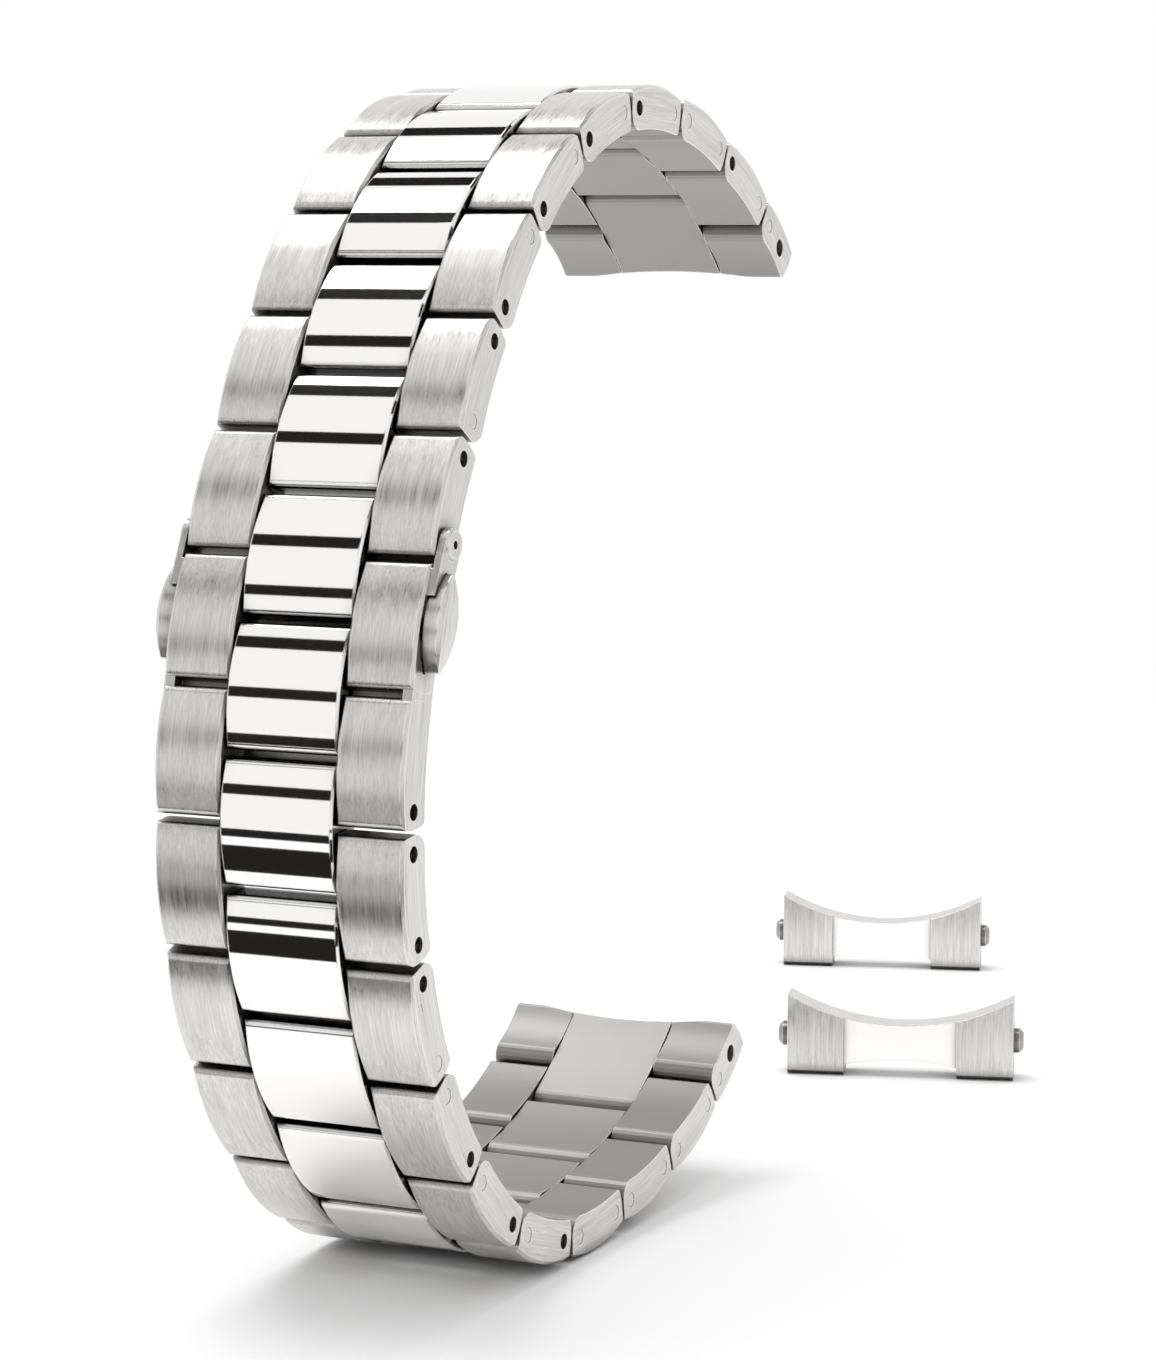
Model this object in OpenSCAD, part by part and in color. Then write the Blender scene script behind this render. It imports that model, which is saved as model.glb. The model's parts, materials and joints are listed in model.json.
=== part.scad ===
// Three-row steel watch bracelet with a folding clasp and two loose curved end links.
// The band stands in a C on its lower curve. X runs across the band, the curve lies in the Y-Z plane,
// and the clasp faces -Y.

/* [Band] */
// Distance from one outer link to the next
link_pitch = 9; // [8.4:0.1:9.6]
// Width of the band over its outer links
band_w = 19; // [18:0.5:22]
// Width of one outer link
outer_w = 5.1; // [4.6:0.1:5.4]
// Height of an outer link's crown above its pins
outer_top = 1.85; // [1.7:0.05:2]
// Radius of an outer link's crown along the band
outer_crown_r = 15; // [12:0.5:20]
// Height of a centre link's crown above its pins
centre_top = 1.8; // [1.7:0.05:2]
// Radius of a centre link's crown along the band
centre_crown_r = 12; // [10:0.5:20]
// Depth of every link's inner face below its pins
inner_depth = 1.6; // [1.4:0.05:1.7]
// Depth of the shallow hollow in the inner face
hollow_depth = 0.22; // [0.1:0.02:0.3]
// Gap between the ends of two outer links
outer_gap = 0.3; // [0.25:0.05:0.4]
// Gap between the ends of two centre links
centre_gap = 0.4; // [0.3:0.05:0.5]
// Sideways gap between an outer link and the centre links
side_play = 0.1; // [0.05:0.01:0.15]
// Chamfer along the long edges of an outer link
outer_chamfer = 0.26; // [0.1:0.02:0.35]
// Chamfer along the long edges of a centre link
centre_chamfer = 0.2; // [0.1:0.02:0.3]

/* [Link ends] */
// Radius of the convex end of a link
nose_r = 5; // [4.8:0.1:6]
// Height of the convex end's foremost point above the pins
nose_rise = 0.6; // [0.4:0.1:0.8]
// Radius between the crown and the convex end
shoulder_r = 0.6; // [0.3:0.05:0.8]
// Radius between the inner face and the convex end
heel_r = 0.35; // [0.2:0.05:0.4]
// Radius between the crown and the flat end
lip_r = 0.55; // [0.3:0.05:0.7]
// Radius between the inner face and the flat end
toe_r = 1.3; // [1.2:0.05:1.4]

/* [Pins] */
// Distance between the two pins of a full outer link
outer_span = 6.2; // [6:0.1:6.4]
// Diameter of a link pin
pin_d = 1.1; // [0.9:0.05:1.2]
// Clearance all round a pin in the link that turns on it
pin_clear = 0.05; // [0.02:0.01:0.08]
// Clearance all round a pin in the link that holds it
pin_seat_clear = 0.02; // [0.01:0.01:0.03]
// How far a split pin lies inside the side of the band
split_pin_depth = 0.45; // [0.2:0.05:0.8]
// Width of the slot in a split pin
pin_slot = 0.2; // [0.1:0.05:0.3]
// Which pins of the outer pairs above the clasp are split, from the clasp to the free end
upper_split = ["far", "far", "near", "near", "near", "near", "none", "near"];
// Which pins of the outer pairs below the clasp are split, from the clasp to the free end
lower_split = ["both", "near", "far", "far", "far", "none", "none", "none"];

/* [Rest curve] */
// Direction of the clasp cover, measured from +Y towards +Z along the band
clasp_angle = 256.5; // [250:0.5:262]
// Bend between the two rows of the clasp cover
cover_bend = 11; // [8:0.5:12]
// Bend from each outer row to the next, from the clasp up to the upper free end
upper_bends = [8, 5, 8, 14, 17, 21, 16, 11, 10];
// Bend from each outer row to the next, from the clasp down to the lower free end
lower_bends = [14, 14, 14, 15, 23, 21, 7, 12, 13];

/* [Free ends] */
// Distance from the last link pin to the spring-bar bore
end_span = 2.8; // [2.6:0.1:3.2]
// Diameter of the spring-bar bore
end_bore_d = 1.4; // [1.2:0.05:1.5]
// Length of the end pieces beyond the spring-bar bore
end_over = 2.3; // [2.2:0.1:2.8]
// Depth of the curved relief across the end edge
end_relief = 1.2; // [0.6:0.1:1.3]
// Crown radius of the long centre piece
end_crown_r = 18; // [16:0.5:24]

/* [Clasp cover] */
// Thickness of the side plate that joins the two rows
cover_side_t = 0.8; // [0.6:0.1:1.2]
// Height of the side plate above the pins, in the groove between the rows
cover_side_top = 1.2; // [0.8:0.1:1.3]
// Height of the groove's floor above the pins
groove_floor = 0.2; // [0:0.1:0.5]
// Thickness of the web under the centre bridge
web_t = 0.6; // [0.5:0.1:0.8]

/* [Folding blades] */
// Thickness of a blade
blade_t = 0.8; // [0.6:0.1:0.9]
// Distance of a blade's edges inside the sides of the band
blade_inset = 2; // [1.5:0.1:3]
// Depth of the inner blade's middle below the band's pins
inner_blade_depth = 2.7; // [2.7:0.1:3]
// Gap between the two blades
blade_gap = 0.6; // [0.6:0.05:0.8]
// Turn along the cover's curve from its middle to the cover hinge
cover_hinge_turn = -4; // [-4.2:0.1:-3.6]
// Turn along the cover's curve from its middle to the hinge between the blades
blade_hinge_turn = 10; // [9.5:0.1:10]
// Diameter of the two hinge pins of the clasp
hinge_pin_d = 0.9; // [0.8:0.05:1]
// Outer radius of the cover hinge's knuckles
cover_knuckle_r = 0.8; // [0.7:0.05:0.85]
// Width of the middle knuckle of each hinge
knuckle_w = 5; // [4:0.1:5]
// Gap between neighbouring knuckles
knuckle_gap = 0.1; // [0.05:0.01:0.2]
// Width of each outer knuckle of the hinge between the blades
outer_knuckle_w = 2.4; // [1.6:0.1:3]

/* [Ears] */
// Diameter of an ear's round top
ear_d = 2.3; // [2:0.1:2.6]
// Thickness of an ear
ear_t = 0.7; // [0.5:0.1:1]
// Gap between an ear and the side of the first link
ear_gap = 0.1; // [0.05:0.05:0.2]
// Chamfer round an ear's outer edge
ear_chamfer = 0.2; // [0.1:0.05:0.3]
// Diameter of the dimple in an ear
ear_dimple_d = 0.6; // [0.4:0.1:0.8]

/* [Blade end] */
// Depth of the blade end's pin below the first centre link's middle
end_pin_depth = 1.7; // [1.65:0.05:1.8]
// Diameter of the blade end's pin
end_pin_d = 1; // [0.8:0.05:1.05]
// Diameter of the knuckles on the blade end's pin
end_knuckle_d = 2.3; // [2:0.1:2.4]
// Thickness of a lug on the blade's end
end_lug_t = 1.5; // [1.2:0.1:1.6]

/* [Buttons] */
// Length of a button along the band
button_l = 7; // [6:0.1:7.2]
// Width of a button across the side of the band
button_w = 2.6; // [2.2:0.1:2.7]
// How far a button stands out of the side of the band
button_out = 1.5; // [1:0.1:1.8]
// Travel of a button
button_travel = 0.6; // [0.3:0.1:0.7]
// Gap between the button's back and the bottom of its pocket beyond the travel
button_spare = 0.1; // [0.05:0.05:0.2]
// Clearance all round a button in its pocket
button_clear = 0.1; // [0.08:0.02:0.15]
// Radius of the button's dome
button_dome_r = 16; // [12:1:24]
// Chamfer round the button's face
button_rim = 0.4; // [0.2:0.05:0.5]
// Offset of a button from its row's middle, towards the ear
button_up = 0.45; // [0:0.05:0.5]
// Offset of a button from the pins, away from the wrist
button_proud = 0.1; // [0:0.05:0.15]
// Depth of the oval pocket behind a button
button_pocket = 0.6; // [0.5:0.1:0.7]
// Diameter of a button's stem
stem_d = 1.6; // [1.4:0.1:1.8]
// Clearance all round the stem
stem_clear = 0.05; // [0.03:0.01:0.08]

/* [Latch] */
// Length of the latch pocket along the band
latch_l = 3.2; // [3:0.1:3.6]
// Width of a hook along the band
hook_l = 1.2; // [1:0.1:1.6]
// Thickness of a hook and of a catch post
hook_t = 0.8; // [0.6:0.1:0.9]
// Gap between a hook and its catch post
latch_gap = 0.15; // [0.1:0.05:0.2]
// Wall between the latch pocket and the side of the centre link
latch_wall = 0.7; // [0.5:0.05:0.8]
// Diameter of the button spring
button_spring_d = 1.1; // [0.9:0.05:1.2]
// Depth of the spring's bore in the stem
button_spring_bore = 1.3; // [1:0.1:1.6]

/* [Loose end links] */
// Width of a loose end link
end_link_w = 20; // [18:0.5:22]
// Height from the foot of a wing to its horn
end_link_h = 7.2; // [6.8:0.1:7.6]
// Depth of a wing
end_link_t = 3.5; // [3.4:0.1:3.8]
// Width of the recessed centre strip
strip_w = 10; // [9:0.5:11]
// Depth that the strip is set back from the wings
strip_recess = 0.3; // [0.15:0.05:0.4]
// Radius of the watch case that the end link fits
case_r = 20.5; // [19.5:0.5:23]
// Height of the strip's lower edge where it meets the wings
strip_foot = 1; // [0.8:0.1:1.2]
// Rise of the strip's lower edge at its middle
strip_rise = 0.55; // [0.3:0.05:0.6]
// Radius on the lower edge of a wing
wing_foot_r = 0.9; // [0.6:0.05:1]
// Height of the sprung bar above the foot
bar_height = 3.4; // [3.3:0.1:3.5]
// Diameter of a plunger
plunger_d = 2.2; // [1.8:0.1:2.3]
// How much thicker a plunger is inside its wing, in radius
plunger_step = 0.17; // [0.16:0.01:0.2]
// How far a plunger stands out of a wing
plunger_out = 0.85; // [0.6:0.05:0.9]
// Chamfer at the tip of a plunger
plunger_chamfer = 0.35; // [0.2:0.05:0.4]
// Length of a plunger inside its wing
plunger_in = 4; // [3:0.1:4.2]
// Clearance all round a plunger
plunger_clear = 0.04; // [0.02:0.01:0.06]
// Diameter of the bore for the spring between the plungers
bar_spring_bore = 1.5; // [1.3:0.1:1.6]
// Height of the bracelet-pin bore above the foot
end_link_pin_height = 1.3; // [1.2:0.05:1.4]
// Width of the notch for the band's centre link
notch_w = 8.7; // [8.6:0.1:9]
// Thickness of the strip over the notch
strip_t = 1.1; // [0.8:0.1:1.2]
// Height of the notch
notch_h = 2.2; // [2:0.1:2.3]
// Turn of both loose end links about the vertical
end_link_turn = 16; // [0:1:30]
// Place of the nearer one, across and behind the clasp
near_link_at = [10, 90];
// Place of the farther one, across and behind the clasp
far_link_at = [-9, 136];

/* [Hidden] */
$fn = 96;
full_rows = len(upper_bends) - 1;
centre_span = link_pitch - outer_span;
centre_w = band_w - 2 * outer_w - 2 * side_play;
blade_w = band_w - 2 * blade_inset;
pin_r = pin_d / 2;
outer_half = (link_pitch - outer_gap) / 2;
centre_half = (link_pitch - centre_gap) / 2;
// Radius of the cover's curve, through its pins
bend_r = link_pitch / (cover_bend * PI / 180);
inner_blade_r = bend_r - inner_blade_depth;
base_blade_r = inner_blade_r - blade_t - blade_gap;
blade_hinge_r = (inner_blade_r + base_blade_r) / 2;
blade_knuckle_r = (inner_blade_r - base_blade_r + blade_t) / 2;
hinge_pin_r = hinge_pin_d / 2;
end_pin_r = end_pin_d / 2;
latch_in = band_w / 2 - outer_w + latch_wall;
hook_in = latch_in + button_travel + 0.3;
post_in = hook_in + hook_t + latch_gap;
post_turn = -5.6;
ear_foot_from = 2.1;
latch_out = band_w / 2 - button_pocket - cover_side_t;
end_link_pin_r = pin_d / 2 + pin_seat_clear;

// Places along the curve. side is 1 for the strand below the clasp and -1 for the one above it.
// Outer row 0 is the clasp cover's own, and the last row is the short one at the free end.
function along(a) = [0, cos(a), sin(a)];
function outward(a) = [0, sin(a), -cos(a)];
function sum_to(v, n) = n <= 0 ? 0 : v[n - 1] + sum_to(v, n - 1);
function bends(side) = side > 0 ? lower_bends : upper_bends;
function outer_angle(side, i) = clasp_angle + side * (cover_bend / 2 + sum_to(bends(side), i));
function centre_angle(side, i) =
    i == full_rows ? outer_angle(side, i + 1) : (outer_angle(side, i) + outer_angle(side, i + 1)) / 2;
function near_pin(side, i) =
    i == 0 ? side * centre_span / 2 * along(clasp_angle)
           : far_pin(side, i - 1) + side * centre_span * along(centre_angle(side, i - 1));
function far_pin(side, i) = near_pin(side, i) + side * outer_span * along(outer_angle(side, i));
function outer_mid(side, i) = (near_pin(side, i) + far_pin(side, i)) / 2;
function centre_mid(side, i) = (far_pin(side, i) + near_pin(side, i + 1)) / 2;

// How far the crown of a lower row reaches below the middle of the clasp cover
function row_turn(a) = min(max(360 - a, -asin(outer_half / outer_crown_r)), asin(outer_half / outer_crown_r));
function row_drop(i) = outer_crown_r * cos(outer_angle(1, i) + row_turn(outer_angle(1, i)))
    - (outer_crown_r - outer_top) * cos(outer_angle(1, i)) - outer_mid(1, i)[2];
// The origin lies on the floor under the middle of the whole set, and the band stands on its lowest rows
set_mid = [0, 69.55];
clasp_mid = [-set_mid[0], -set_mid[1], max([for (i = [0 : full_rows + 1]) row_drop(i)])];

// Puts a flat outline's x along the band, its y away from the wrist and its z across the band
module on_band(p, a) {
    translate(clasp_mid + p) rotate([a, 0, 0]) rotate([-90, 0, 90]) children();
}

// The same, with x pointing away from the clasp on both strands
module on_strand(side, p, a) {
    on_band(p, a) rotate([0, side > 0 ? 0 : 180, 0]) children();
}

module across(w) {
    linear_extrude(w, center = true) children();
}

// A shaft or a bore across the band
module cross_rod(p, r, w) {
    translate([p[0], p[1], -w / 2]) cylinder(r = r, h = w);
}

module both_sides() {
    children();
    mirror([0, 0, 1]) children();
}

// The crossing point of two circles, on the left of the way from c1 to c2 when side is 1
function meet(c1, r1, c2, r2, side) =
    let (d = norm(c2 - c1), a = (r1 * r1 - r2 * r2 + d * d) / (2 * d), u = (c2 - c1) / d)
    c1 + a * u + side * sqrt(r1 * r1 - a * a) * [-u[1], u[0]];

function at_angle(a) = [cos(a), sin(a)];
function angle_of(v) = atan2(v[1], v[0]);

// Rounded corners are drawn with straight facets that touch a circle: their directions, the corners
// between them, and the end of the first or last one, drawn out by reach.
function facets(from, to, n) = [for (k = [0 : n - 1]) from + (to - from) * (k + 0.5) / n];
function bends_between(c, r, t) = [for (k = [0 : len(t) - 2])
    c + r / cos((t[k + 1] - t[k]) / 2) * at_angle((t[k] + t[k + 1]) / 2)];
function free_end(c, r, t, reach) = c + r * at_angle(t) + reach * at_angle(t + 90);

// Side outline of a link from -half to half: crowned outside, a shallow hollow inside, a convex end at +x,
// and at -x a flat end, or a second convex end.
module link_outline(half, top, crown_r, two_noses = false) {
    end_r = nose_r + 2 * max(0, half - outer_half);
    crown = [0, top - crown_r];
    nose = [half - end_r, nose_rise];
    shoulder = meet(nose, end_r - shoulder_r, crown, crown_r - shoulder_r, 1);
    heel_y = heel_r - inner_depth;
    heel = [nose[0] + sqrt(pow(end_r - heel_r, 2) - pow(heel_y - nose[1], 2)), heel_y];
    lip_x = lip_r - half;
    lip = [lip_x, crown[1] + sqrt(pow(crown_r - lip_r, 2) - lip_x * lip_x)];
    toe = [toe_r - half, toe_r - inner_depth];
    heel_t = concat([-90], facets(-90, angle_of(heel - nose), 3));
    shoulder_t = facets(angle_of(shoulder - nose), angle_of(shoulder - crown), 5);
    lip_t = facets(angle_of(lip - crown), 180, 5);
    toe_t = concat(facets(180, 270, 6), [270]);
    right = concat(
        bends_between(heel, heel_r, heel_t),
        [free_end(heel, heel_r, heel_t[3], 0.5), [half + 1, 0],
         free_end(shoulder, shoulder_r, shoulder_t[0], -0.5)],
        bends_between(shoulder, shoulder_r, shoulder_t),
        [free_end(shoulder, shoulder_r, shoulder_t[4], 0.8)]);
    left = two_noses
        ? [for (k = [len(right) - 1 : -1 : 0]) [-right[k][0], right[k][1]]]
        : concat([free_end(lip, lip_r, lip_t[0], -0.5)], bends_between(lip, lip_r, concat(lip_t, [180])),
                 bends_between(toe, toe_r, concat([180], toe_t)));
    face_from = two_noses ? -heel[0] : toe[0];
    hollow_half = (heel[0] - face_from) / 2;
    hollow_r = (hollow_half * hollow_half + hollow_depth * hollow_depth) / (2 * hollow_depth);
    difference() {
        intersection() {
            polygon(concat(right, [[0, top + 2]], left));
            translate(crown) circle(crown_r);
            translate(nose) circle(end_r);
            if (two_noses) translate([-nose[0], nose[1]]) circle(end_r);
        }
        translate([(heel[0] + face_from) / 2, hollow_depth - inner_depth - hollow_r]) circle(hollow_r);
    }
}

// A disc with chamfered rims whose edge follows a crown, to trim the long edges of a link
module edge_trim(w, top, crown_r, chamfer) {
    rim = crown_r + 0.03;
    translate([0, top - crown_r, 0])
        rotate_extrude() polygon([[0, -w / 2], [rim - chamfer, -w / 2], [rim, chamfer - w / 2],
                                  [rim, w / 2 - chamfer], [rim - chamfer, w / 2], [0, w / 2]]);
}

// A link of width w with chamfered long edges, centred on its own width
module link_block(w, half, top, crown_r, chamfer, two_noses = false) {
    intersection() {
        across(w) link_outline(half, top, crown_r, two_noses);
        edge_trim(w, top, crown_r, chamfer);
    }
}

module outer_plates(half) {
    both_sides() translate([0, 0, (band_w - outer_w) / 2])
        link_block(outer_w, half, outer_top, outer_crown_r, outer_chamfer);
}

// A riveted pin, flush with the sides, or a split one that lies inside them
module link_pin(p, split) {
    w = band_w - (split ? 2 * split_pin_depth : 0.06);
    difference() {
        cross_rod(p, pin_r, w);
        if (split) both_sides() translate([p[0] - pin_slot / 2, p[1] - pin_d, w / 2 - pin_d])
            cube([pin_slot, 2 * pin_d, 2 * pin_d]);
    }
}

module outer_pair(side, i) {
    split = side > 0 ? lower_split[i - 1] : upper_split[i - 1];
    color("silver") on_strand(side, outer_mid(side, i), outer_angle(side, i)) {
        difference() {
            outer_plates(outer_half);
            for (x = [-1, 1]) cross_rod([x * outer_span / 2, 0], pin_r + pin_seat_clear, band_w + 1);
        }
        link_pin([-outer_span / 2, 0], split == "near" || split == "both");
        link_pin([outer_span / 2, 0], split == "far" || split == "both");
    }
}

module centre_link(side, i) {
    first_upper = side < 0 && i == 0;
    color("gainsboro") on_strand(side, centre_mid(side, i), centre_angle(side, i)) difference() {
        union() {
            link_block(centre_w, centre_half, centre_top, centre_crown_r, centre_chamfer);
            if (first_upper) blade_end_knuckle();
        }
        cross_rod([centre_span / 2, 0], pin_r + pin_clear, band_w);
        if (first_upper) blade_end_bore();
        else cross_rod([-centre_span / 2, 0], pin_r + pin_clear, band_w);
    }
}

// The knuckle under the first centre link above the clasp, which turns on the blade end's pin
module blade_end_knuckle() {
    across(knuckle_w) {
        translate([0, -end_pin_depth]) circle(end_knuckle_d / 2);
        translate([-end_knuckle_d / 2, -end_pin_depth]) square([end_knuckle_d, end_pin_depth]);
    }
}

// The bore through that knuckle, with room beside it for the lugs of the blade's end
module blade_end_bore() {
    cross_rod([0, -end_pin_depth], end_pin_r + pin_clear, band_w);
    both_sides() translate([0, -end_pin_depth, knuckle_w / 2])
        cylinder(r = end_knuckle_d / 2 + knuckle_gap, h = band_w);
}

// The relief across a free end, shaped for a round watch case
module case_relief(x_end) {
    r = (band_w * band_w / 4 + end_relief * end_relief) / (2 * end_relief);
    translate([x_end - end_relief + r, 0, 0]) rotate([90, 0, 0])
        cylinder(r = r, h = 2 * link_pitch, center = true, $fn = 180);
}

module end_frame(side) {
    on_strand(side, near_pin(side, full_rows + 1), outer_angle(side, full_rows + 1)) children();
}

module end_sides(side) {
    x_end = end_span + end_over;
    x_back = outer_half - outer_span / 2;
    half = (x_end + x_back) / 2;
    color("silver") end_frame(side) {
        difference() {
            translate([(x_end - x_back) / 2, 0, 0]) outer_plates(half);
            case_relief(x_end);
            cross_rod([0, 0], pin_r + pin_seat_clear, band_w + 1);
            cross_rod([end_span, 0], end_bore_d / 2, band_w + 1);
        }
        link_pin([0, 0], false);
    }
}

module end_centre(side) {
    x_end = end_span + end_over;
    x_back = centre_span / 2 + centre_half;
    half = (x_end + x_back) / 2;
    color("gainsboro") end_frame(side) difference() {
        translate([(x_end - x_back) / 2, 0, 0])
            link_block(centre_w, half, centre_top, end_crown_r, centre_chamfer);
        case_relief(x_end);
        cross_rod([0, 0], pin_r + pin_seat_clear, band_w);
        cross_rod([-centre_span, 0], pin_r + pin_clear, band_w);
        cross_rod([end_span, 0], end_bore_d / 2, band_w);
    }
}

// The clasp's own frame: x down the band, y away from the wrist, origin between its two rows
module in_clasp() {
    on_band([0, 0, 0], clasp_angle) children();
}

function on_curve(r, turn) = [r * sin(turn), r * cos(turn) - bend_r];

// Puts its children on one row of the cover, with x pointing away from the cover's middle
module cover_row(way) {
    turn = cover_bend / 2;
    mid = way * (centre_span / 2 * [1, 0] + outer_span / 2 * [cos(turn), -way * sin(turn) * way]);
    translate([mid[0], -outer_span / 2 * sin(turn), 0]) rotate([0, 0, -way * turn])
        rotate([0, way > 0 ? 0 : 180, 0]) children();
}

module curved_plate(r_mid, t, from, to, w) {
    reach = 2 * bend_r;
    translate([0, -bend_r, 0]) across(w) intersection() {
        difference() {
            circle(r_mid + t / 2, $fn = 180);
            circle(r_mid - t / 2, $fn = 180);
        }
        polygon([[0, 0], reach * [sin(from), cos(from)], reach * [sin(to), cos(to)]]);
    }
}

module cover_side() {
    z_in = band_w / 2 - outer_w;
    for (way = [-1, 1]) cover_row(way) both_sides() translate([0, 0, (band_w - outer_w) / 2])
        link_block(outer_w, outer_half, outer_top, outer_crown_r, outer_chamfer, true);
    join = outer_span / 2;
    inset = 0.03;
    both_sides() {
        translate([-join, -inner_depth, z_in + inset])
            cube([2 * join, inner_depth + groove_floor, outer_w - 2 * inset]);
        translate([-join, -inner_depth, band_w / 2 - cover_side_t])
            cube([2 * join, inner_depth + cover_side_top, cover_side_t - inset]);
    }
}

module cover_web() {
    x = on_curve(bend_r, cover_hinge_turn)[0];
    hinge = on_curve(inner_blade_r, cover_hinge_turn);
    arm_w = (2 * z_centre_edge() - knuckle_w) / 2 - knuckle_gap;
    translate([x - cover_knuckle_r, -inner_depth, -band_w / 2 + outer_w - 0.5])
        cube([2 * (cover_knuckle_r - x), web_t, band_w - 2 * outer_w + 1]);
    both_sides() translate([0, 0, knuckle_w / 2 + knuckle_gap]) linear_extrude(arm_w) {
        translate(hinge) circle(cover_knuckle_r);
        translate([hinge[0] - cover_knuckle_r, hinge[1]])
            square([2 * cover_knuckle_r, -inner_depth - hinge[1] + web_t / 2]);
    }
}

function z_centre_edge() = centre_w / 2;

// The room inside the upper row for a hook and a catch post, open towards the wrist
module latch_room() {
    cover_row(-1) both_sides() {
        translate([-latch_l / 2, -inner_depth - 1, latch_in])
            cube([latch_l, inner_depth + 1 + stem_d / 2 + 0.1, latch_out - latch_in]);
        translate([0, 0, latch_in - button_spring_seat()])
            cylinder(d = button_spring_d + 0.1, h = button_spring_seat() + 0.1);
        translate([0, 0, latch_out - 0.1]) cylinder(r = stem_d / 2 + stem_clear, h = band_w);
        translate([button_up, button_proud, band_w / 2 - button_pocket])
            linear_extrude(band_w) oval(button_l + 2 * button_clear, button_w + 2 * button_clear);
    }
}

function button_spring_seat() = latch_wall / 2;

// An oval with pointed ends, cut short by round ones
function oval_side_r(l, w) = (l * l + w * w) / (4 * w);
function oval_end_r(l) = l / 2 - 0.15;
module oval(l, w) {
    r = oval_side_r(l, w);
    intersection() {
        translate([0, r - w / 2]) circle(r);
        translate([0, w / 2 - r]) circle(r);
        circle(oval_end_r(l));
    }
}

// A disc of radius r from z_from to z_to, with a chamfer round its upper edge
module rimmed_disc(r, z_from, z_to, rim) {
    rotate_extrude($fn = 180) polygon([[0, z_from], [r, z_from], [r, z_to - rim], [r - rim, z_to], [0, z_to]]);
}

// The cap of a button, from z_from to z_to
module button_cap(z_from, z_to) {
    r = oval_side_r(button_l, button_w);
    intersection() {
        translate([0, r - button_w / 2, 0]) rimmed_disc(r, z_from, z_to, button_rim);
        translate([0, button_w / 2 - r, 0]) rimmed_disc(r, z_from, z_to, button_rim);
        rimmed_disc(oval_end_r(button_l), z_from, z_to, button_rim);
        translate([0, 0, z_to - button_dome_r]) sphere(button_dome_r);
    }
}

module clasp_cover() {
    pin = on_cover_end();
    color("silver") in_clasp() difference() {
        union() {
            cover_side();
            cover_web();
            cover_ears();
        }
        latch_room();
        both_sides() translate([strand_end()[0], strand_end()[1], band_w / 2 + ear_gap + ear_t - ear_dimple_d / 2])
            cylinder(d = ear_dimple_d, h = ear_t);
        cross_rod(pin, pin_r + pin_seat_clear, band_w + 1);
        cross_rod(on_curve(inner_blade_r, cover_hinge_turn), hinge_pin_r + pin_seat_clear,
                  band_w - 2 * outer_w);
    }
}

// The pin of the first full row above the clasp, in the clasp's frame
function strand_end() = let (p = near_pin(-1, 1)) [p * along(clasp_angle), p * outward(clasp_angle)];

// The ears: round-topped tabs on the cover's sides that keep the first row above the clasp in line
module cover_ears() {
    top = strand_end();
    foot = [-centre_span / 2 - outer_span / 2 - button_up, button_proud];
    way = foot - top;
    z_ear = band_w / 2 + ear_gap;
    tab_l = centre_span - ear_d / 2 + button_up + outer_span / 2 - 1.2;
    both_sides() translate([top[0], top[1], 0]) {
        translate([0, 0, z_ear]) cylinder(d = ear_d, h = ear_t - ear_chamfer);
        translate([0, 0, z_ear + ear_t - ear_chamfer])
            cylinder(d1 = ear_d, d2 = ear_d - 2 * ear_chamfer, h = ear_chamfer);
        rotate([0, 0, atan2(way[1], way[0])]) {
            translate([0, -ear_d / 2, z_ear]) cube([tab_l, ear_d, ear_t - ear_chamfer]);
            translate([ear_foot_from, -ear_d / 2, band_w / 2 - 0.3])
                cube([tab_l - ear_foot_from, ear_d, ear_gap + 0.3 + ear_t - ear_chamfer]);
        }
    }
}

// The lower pin of the cover, which carries the strand below the clasp
function on_cover_end() =
    [centre_span / 2 + outer_span * cos(cover_bend / 2), -outer_span * sin(cover_bend / 2)];

module clasp_bridge() {
    color("gainsboro") in_clasp() intersection() {
        link_block(centre_w, centre_half, centre_top, centre_crown_r, centre_chamfer, true);
        translate([-link_pitch, web_t - inner_depth, -band_w]) cube([2 * link_pitch, link_pitch, 2 * band_w]);
    }
}

module cover_pins() {
    color("dimgray") in_clasp() {
        link_pin(on_cover_end(), true);
        cross_rod(on_curve(inner_blade_r, cover_hinge_turn), hinge_pin_r, centre_w);
    }
}

// A button at rest, drawn on the side at +z of the upper row
module button_shape() {
    z_back = band_w / 2 - button_pocket + button_travel + button_spare;
    z_top = band_w / 2 + button_out;
    difference() {
        union() {
            translate([button_up, button_proud, 0]) button_cap(z_back, z_top);
            translate([0, 0, hook_in]) cylinder(d = stem_d, h = z_back - hook_in + 0.2);
            translate([-hook_l / 2, -inner_depth - 0.9, hook_in])
                cube([hook_l, inner_depth + 0.9 + stem_d / 2, hook_t]);
        }
        translate([0, 0, hook_in - 0.1]) cylinder(d = button_spring_d + 0.1, h = button_spring_bore + 0.1);
    }
}

module left_button() {
    color("silver") in_clasp() cover_row(-1) mirror([0, 0, 1]) button_shape();
}

module right_button() {
    color("silver") in_clasp() cover_row(-1) button_shape();
}

module button_springs() {
    z = latch_in - button_spring_seat();
    l = hook_in - button_travel + button_spring_bore - z - 0.05;
    color("gray") in_clasp() cover_row(-1) both_sides() translate([0, 0, z]) difference() {
        cylinder(d = button_spring_d, h = l);
        translate([0, 0, -0.1]) cylinder(d = button_spring_d - 0.4, h = l + 0.2);
    }
}

// The knuckle of a blade and the neck that joins it to its plate
module knuckle(p, r, z_from, w) {
    translate([p[0], p[1], z_from]) cylinder(r = r, h = w);
}

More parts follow.
